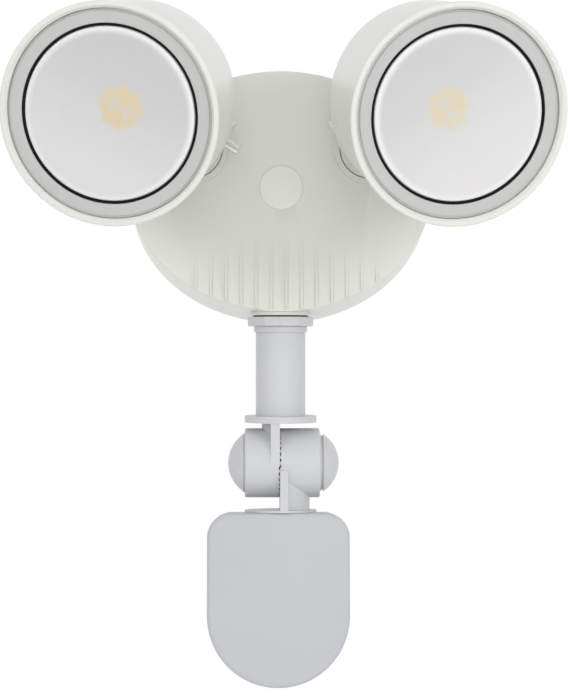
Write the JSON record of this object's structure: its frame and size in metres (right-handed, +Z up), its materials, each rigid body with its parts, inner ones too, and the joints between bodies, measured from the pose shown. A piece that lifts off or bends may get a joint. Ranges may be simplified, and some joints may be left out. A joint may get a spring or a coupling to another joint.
{
  "type": "motion sensor security light",
  "caption": "Outdoor flood light with round lamp heads on swivel knuckle arms over an oval wall canopy, and a motion sensor hanging on a jointed stem.",
  "frame": {"origin": "centre screw's axis at the wall plane, midway between the crossbar's mounting slots", "axes": "+X to the viewer's right along the crossbar, +Y into the wall, +Z up"},
  "size_m": [0.2526, 0.1604, 0.3324],
  "materials": {
    "canopy_paint": "satin light grey paint on the cast canopy",
    "arm_paint": "satin light grey paint on the cast arms",
    "head_paint": "satin light grey paint on the lamp housings",
    "bezel_paint": "satin light grey paint",
    "grey_plastic": "matt light grey",
    "sensor_plastic": "matt light grey, slightly cool",
    "milky_lens": "milky white polyethylene",
    "black_rubber": "matt black",
    "zinc_steel": "zinc plated",
    "green_screw": "green passivated",
    "white_plastic": "matt white",
    "frosted_lens": "frosted white polycarbonate",
    "white_reflector": "bright white",
    "bare_aluminium": "mill finish",
    "white_board": "white solder mask",
    "green_board": "green solder mask",
    "detector_can": "plated can",
    "dial_plastic": "dark grey",
    "led_glow": "yellow phosphor, glowing warm white"
  },
  "bodies": {
    "canopy": {"canopy_housing": "canopy_paint", "wall_gasket": "black_rubber", "mounting_crossbar": "zinc_steel", "centre_screw": "zinc_steel", "centre_plug": "grey_plastic", "ground_screw": "green_screw", "driver_case": "white_plastic", "driver_screws": "zinc_steel", "left_arm_seal": "black_rubber", "right_arm_seal": "black_rubber", "stem_seal": "black_rubber"},
    "left_arm": {"left_arm": "arm_paint", "left_arm_washer": "zinc_steel", "left_arm_nut": "zinc_steel", "left_knuckle_bolt": "zinc_steel", "left_knuckle_nut": "zinc_steel"},
    "left_head": {"left_lamp_housing": "head_paint", "left_bezel_ring": "bezel_paint", "left_lens_gasket": "black_rubber", "left_lens": "frosted_lens", "left_reflector": "white_reflector", "left_heat_sink": "bare_aluminium", "left_led_board": "white_board", "left_led_board_screws": "zinc_steel", "left_leds": "led_glow"},
    "right_arm": {"right_arm": "arm_paint", "right_arm_washer": "zinc_steel", "right_arm_nut": "zinc_steel", "right_knuckle_bolt": "zinc_steel", "right_knuckle_nut": "zinc_steel"},
    "right_head": {"right_lamp_housing": "head_paint", "right_bezel_ring": "bezel_paint", "right_lens_gasket": "black_rubber", "right_lens": "frosted_lens", "right_reflector": "white_reflector", "right_heat_sink": "bare_aluminium", "right_led_board": "white_board", "right_led_board_screws": "zinc_steel", "right_leds": "led_glow"},
    "sensor_stem": {"sensor_stem": "grey_plastic", "sensor_knuckle_bolt": "zinc_steel", "sensor_knuckle_cap": "grey_plastic"},
    "stem_locknut": {"stem_locknut": "grey_plastic"},
    "clamp_knob": {"clamp_knob": "grey_plastic"},
    "sensor_head": {"sensor_bracket": "grey_plastic", "sensor_top_cover": "sensor_plastic", "sensor_base": "sensor_plastic", "sensor_lens_band": "milky_lens", "sensor_board": "green_board", "detector_board": "green_board", "infrared_detector": "detector_can", "sensor_screws": "zinc_steel"},
    "range_dial": {"range_dial": "dial_plastic"},
    "on_time_dial": {"on_time_dial": "dial_plastic"}
  },
  "joints": [
    {"name": "left_swivel", "type": "hinge", "parent": "canopy", "child": "left_arm", "pos_m": [-0.0437, -0.047, 0.01875], "axis": [0, -1, 0], "range_deg": [-70, 70]},
    {"name": "right_swivel", "type": "hinge", "parent": "canopy", "child": "right_arm", "pos_m": [0.0437, -0.047, 0.01875], "axis": [0, -1, 0], "range_deg": [-70, 70]},
    {"name": "left_tilt", "type": "hinge", "parent": "left_arm", "child": "left_head", "pos_m": [-0.06426, -0.072, 0.04294], "axis": [-0.8453, 0, 0.5344], "range_deg": [-26, 64]},
    {"name": "right_tilt", "type": "hinge", "parent": "right_arm", "child": "right_head", "pos_m": [0.06426, -0.072, 0.04294], "axis": [0.8453, 0, 0.5344], "range_deg": [-64, 26]},
    {"name": "stem_turn", "type": "hinge", "parent": "canopy", "child": "sensor_stem", "pos_m": [0, -0.0305, -0.0635], "axis": [0, 0, 1], "range_deg": [-90, 90]},
    {"name": "locknut_turn", "type": "hinge", "parent": "sensor_stem", "child": "stem_locknut", "pos_m": [0, -0.0305, -0.0668], "axis": [0, 0, 1], "range_deg": [-180, 0]},
    {"name": "sensor_tilt", "type": "hinge", "parent": "sensor_stem", "child": "sensor_head", "pos_m": [0, -0.0305, -0.1388], "axis": [-1, 0, 0], "range_deg": [-7, 80]},
    {"name": "knob_turn", "type": "hinge", "parent": "sensor_stem", "child": "clamp_knob", "pos_m": [0.0248, -0.0305, -0.1388], "axis": [1, 0, 0], "range_deg": [0, 180]},
    {"name": "range_dial_turn", "type": "hinge", "parent": "sensor_head", "child": "range_dial", "pos_m": [-0.011, -0.01661, -0.19172], "axis": [0, 0.9982, -0.0593], "range_deg": [-135, 135]},
    {"name": "on_time_dial_turn", "type": "hinge", "parent": "sensor_head", "child": "on_time_dial", "pos_m": [0.011, -0.01661, -0.19172], "axis": [0, 0.9982, -0.0593], "range_deg": [-135, 135]}
  ]
}
